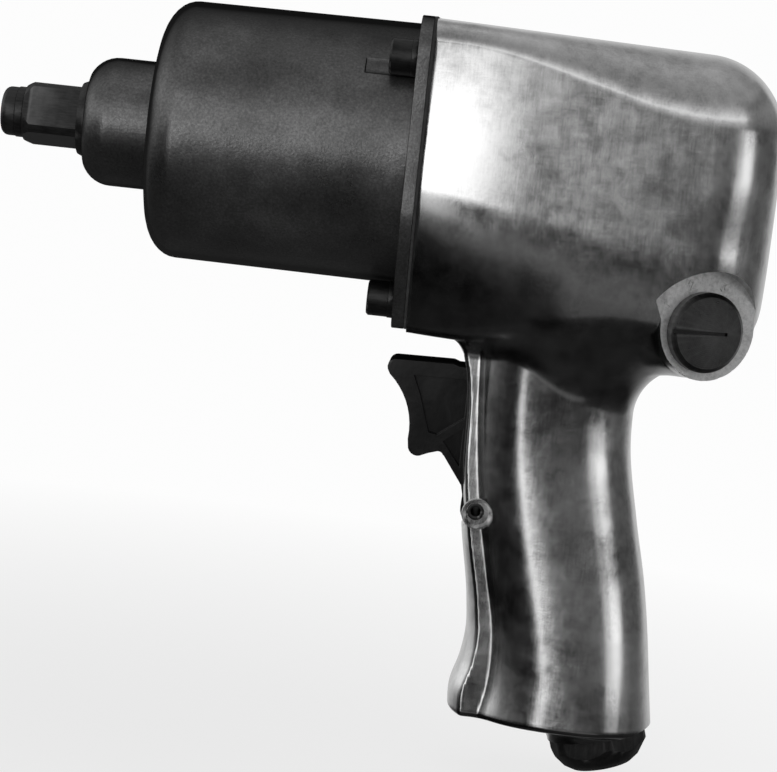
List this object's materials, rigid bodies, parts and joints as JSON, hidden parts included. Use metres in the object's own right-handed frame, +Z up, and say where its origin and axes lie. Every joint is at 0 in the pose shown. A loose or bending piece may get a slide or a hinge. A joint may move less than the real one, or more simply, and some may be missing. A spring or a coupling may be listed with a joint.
{
  "type": "impact wrench",
  "caption": "Pistol-grip pneumatic impact wrench with a square drive, hammer case, polished housing, trigger and regulator knob.",
  "frame": {"origin": "on the drive axis at the nose shoulder behind the drive square, where a socket seats", "axes": "-X out of the nose along the drive square, +X to the back of the motor, +Z up away from the handle, -Y the side with the regulator knob"},
  "size_m": [0.1864, 0.066, 0.1783],
  "materials": {
    "drive_steel": "black phosphate, satin",
    "ring_steel": "dark spring steel",
    "rubber": "matt",
    "black_casting": "fine grained black, satin",
    "bronze": "machined",
    "machined_steel": "ground",
    "hammer_steel": "forged and ground",
    "black_screw": "black oxide",
    "gasket_paper": "fibre gasket",
    "bearing_steel": "polished",
    "vane_laminate": "phenolic laminate",
    "polished_aluminium": "polished casting with fine brush marks",
    "black_knob": "black oxide, lathe turned",
    "black_trigger": "gloss black",
    "black_bushing": "black oxide",
    "spring_steel": "drawn wire",
    "felt": "felt"
  },
  "bodies": {
    "housing_group": {"hammer_case": "black_casting", "anvil_bushing": "bronze", "thrust_washer": "machined_steel", "case_screws": "black_screw", "case_lock_washers": "black_screw", "case_gasket": "gasket_paper", "front_end_plate": "machined_steel", "front_bearing_outer_race": "bearing_steel", "motor_cylinder": "machined_steel", "cylinder_dowel": "machined_steel", "rear_end_plate": "machined_steel", "rear_bearing_outer_race": "bearing_steel", "motor_clamp_spring": "spring_steel", "motor_housing": "polished_aluminium", "valve_bushing": "bronze", "trigger_pin": "black_screw", "plunger_bushing": "bronze", "plunger_o_ring": "rubber", "throttle_valve_seat": "bronze", "throttle_valve_spring": "spring_steel", "inlet_bushing": "black_bushing", "inlet_screen": "bronze", "inlet_gasket": "rubber", "exhaust_muffler": "felt", "muffler_retainer": "black_screw"},
    "anvil_group": {"anvil": "drive_steel", "friction_ring": "ring_steel", "friction_ring_backing": "rubber"},
    "drive_train": {"rotor": "hammer_steel", "vanes": "vane_laminate", "hammer_frame": "hammer_steel", "hammer_pins": "machined_steel", "front_bearing_inner_race": "bearing_steel", "rear_bearing_inner_race": "bearing_steel"},
    "front_hammer_body": {"front_hammer": "hammer_steel"},
    "rear_hammer_body": {"rear_hammer": "hammer_steel"},
    "front_ball_set": {"front_bearing_balls": "bearing_steel", "front_bearing_cage": "bronze"},
    "rear_ball_set": {"rear_bearing_balls": "bearing_steel", "rear_bearing_cage": "bronze"},
    "regulator": {"regulator_knob": "black_knob", "reverse_valve": "machined_steel", "valve_o_ring": "rubber", "valve_roll_pin": "black_screw", "detent_ball": "bearing_steel", "detent_spring": "spring_steel"},
    "trigger_body": {"trigger": "black_trigger"},
    "plunger_body": {"throttle_plunger": "bronze"},
    "throttle_body": {"throttle_valve": "bronze"}
  },
  "joints": [
    {"name": "drive_spin", "type": "hinge", "parent": "housing_group", "child": "drive_train", "pos_m": [0, 0, 0], "axis": [1, 0, 0], "continuous": true},
    {"name": "anvil_spin", "type": "hinge", "parent": "housing_group", "child": "anvil_group", "pos_m": [0, 0, 0], "axis": [1, 0, 0], "continuous": true},
    {"name": "front_ball_spin", "type": "hinge", "parent": "housing_group", "child": "front_ball_set", "pos_m": [0.0835, 0, 0], "axis": [1, 0, 0], "continuous": true},
    {"name": "rear_ball_spin", "type": "hinge", "parent": "housing_group", "child": "rear_ball_set", "pos_m": [0.1487, 0, 0], "axis": [1, 0, 0], "continuous": true},
    {"name": "front_hammer_swing", "type": "hinge", "parent": "drive_train", "child": "front_hammer_body", "pos_m": [0.0368, 0, 0.0207], "axis": [1, 0, 0], "range_deg": [-4, 4]},
    {"name": "rear_hammer_swing", "type": "hinge", "parent": "drive_train", "child": "rear_hammer_body", "pos_m": [0.0534, 0, -0.0207], "axis": [1, 0, 0], "range_deg": [-4, 4]},
    {"name": "regulator_turn", "type": "hinge", "parent": "housing_group", "child": "regulator", "pos_m": [0.1531, -0.026, -0.0329], "axis": [0.4226, -0.9063, 0], "range_deg": [-90, 90]},
    {"name": "trigger_pull", "type": "hinge", "parent": "housing_group", "child": "trigger_body", "pos_m": [0.1053, 0, -0.0832], "axis": [0, 1, 0], "range_deg": [0, 8]},
    {"name": "plunger_slide", "type": "slide", "parent": "housing_group", "child": "plunger_body", "axis": [1, 0, 0], "range_m": [0, 0.003]},
    {"name": "throttle_tilt", "type": "hinge", "parent": "housing_group", "child": "throttle_body", "pos_m": [0.12273, 0, -0.0947], "axis": [0, 1, 0], "range_deg": [0, 6]}
  ],
  "couplings": [
    {"joint": "anvil_spin", "follows": "drive_spin", "ratio": 1},
    {"joint": "front_ball_spin", "follows": "drive_spin", "ratio": 0.3981},
    {"joint": "rear_ball_spin", "follows": "drive_spin", "ratio": 0.3987},
    {"joint": "plunger_slide", "follows": "trigger_pull", "m_per_rad": 0.0212},
    {"joint": "throttle_tilt", "follows": "trigger_pull", "ratio": 0.6483}
  ]
}
